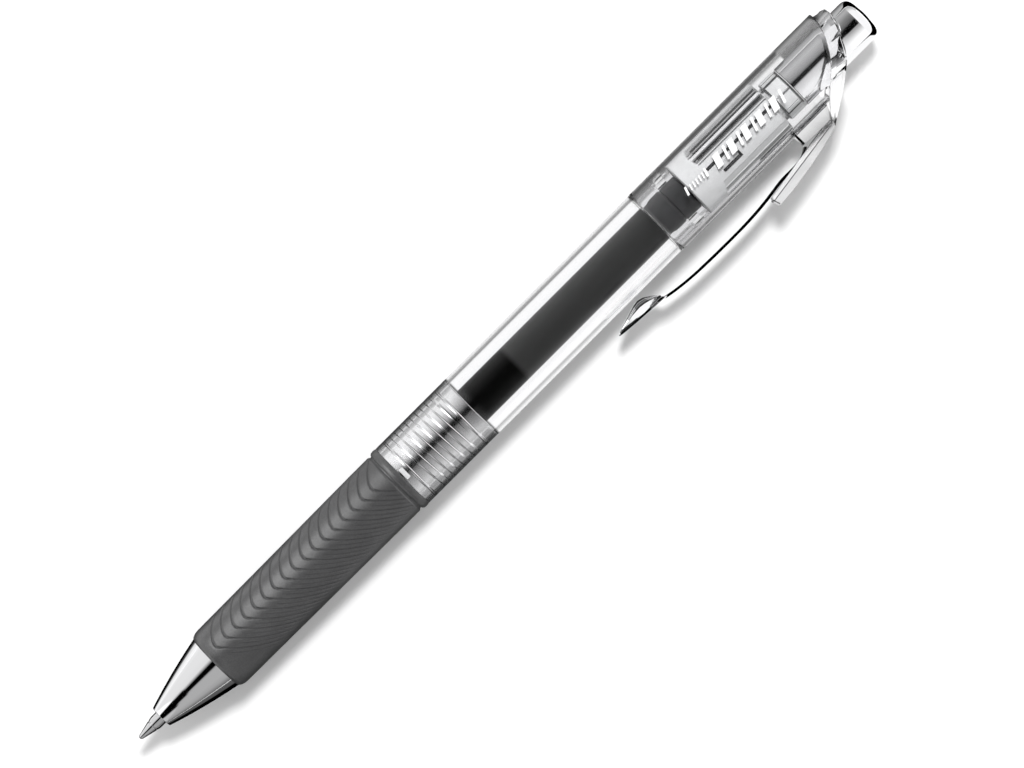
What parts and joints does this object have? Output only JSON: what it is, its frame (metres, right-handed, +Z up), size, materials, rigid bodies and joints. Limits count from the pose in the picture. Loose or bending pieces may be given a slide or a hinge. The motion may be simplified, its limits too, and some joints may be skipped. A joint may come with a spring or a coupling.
{
  "type": "gel pen",
  "caption": "Retractable gel pen with a clear barrel, grooved rubber grip, chromed screw-on nose, sprung metal clip under a clear slanted hood, and a push button.",
  "frame": {"origin": "the writing point, on the pen's axis, at the crown of the ball", "axes": "+X along the axis from the writing point to the push button, the clip on the -Y side, +Z up with the pen lying on its side"},
  "size_m": [0.1464, 0.0163, 0.011],
  "materials": {
    "carbide": "polished tungsten carbide",
    "steel": "turned stainless steel",
    "spring_steel": "drawn spring wire",
    "chrome": "bright chrome plate",
    "metallised": "vacuum-metallised moulded plastic",
    "clip_metal": "bright chromed spring strip",
    "rubber": "matt moulded rubber with wavy grooves",
    "clear_plastic": "clear gloss moulding",
    "guide_plastic": "clear moulding with ribs",
    "milky_plastic": "milky acetal",
    "tube_plastic": "translucent polypropylene",
    "core_plastic": "moulded plastic",
    "grey_plastic": "smooth moulded plastic",
    "ink": "black gel ink",
    "follower": "dark follower grease"
  },
  "bodies": {
    "barrel": {"barrel_tube": "clear_plastic", "upper_housing": "clear_plastic", "cam_guide": "guide_plastic", "clip_hood": "clear_plastic", "clip_root": "clip_metal", "grip_core": "core_plastic", "grip_sleeve": "rubber", "spiral_sleeve": "metallised"},
    "clip": {"clip_strip": "clip_metal"},
    "knock": {"push_button": "chrome", "plunger": "milky_plastic"},
    "refill": {"refill_tip": "steel", "tip_holder": "milky_plastic", "ink_tube": "tube_plastic", "ink": "ink", "ink_follower": "follower", "refill_plug": "grey_plastic", "return_spring": "spring_steel"},
    "rotor": {"cam_rotor": "milky_plastic"},
    "ball": {"writing_ball": "carbide"},
    "nose_liner": {"nose_bush": "milky_plastic"},
    "nose": {"nose_cone": "chrome"}
  },
  "joints": [
    {"name": "knock_press", "type": "slide", "parent": "barrel", "child": "knock", "axis": [1, 0, 0], "range_m": [-0.0008, 0.0056], "stiffness_N_per_m": 250},
    {"name": "refill_slide", "type": "slide", "parent": "barrel", "child": "refill", "axis": [1, 0, 0], "range_m": [-0.0008, 0.0056], "deforming": ["return_spring"]},
    {"name": "rotor_turn", "type": "hinge", "parent": "refill", "child": "rotor", "pos_m": [0.1123, 0, 0], "axis": [1, 0, 0], "continuous": true},
    {"name": "ball_roll", "type": "hinge", "parent": "refill", "child": "ball", "pos_m": [0.00035, 0, 0], "axis": [0, 0, 1], "continuous": true},
    {"name": "clip_flex", "type": "hinge", "parent": "barrel", "child": "clip", "pos_m": [0.127, -0.0072, 0], "axis": [0, 0, 1], "range_deg": [0, 4], "stiffness_Nm_per_rad": 0.35},
    {"name": "cone_advance", "type": "slide", "parent": "barrel", "child": "nose_liner", "axis": [-1, 0, 0], "range_m": [0, 0.004]},
    {"name": "cone_unscrew", "type": "hinge", "parent": "nose_liner", "child": "nose", "pos_m": [0.0154, 0, 0], "axis": [-1, 0, 0], "range_deg": [0, 1440]}
  ],
  "couplings": [
    {"joint": "refill_slide", "follows": "knock_press", "ratio": 1},
    {"joint": "cone_unscrew", "follows": "cone_advance", "rad_per_m": 6283.2}
  ]
}
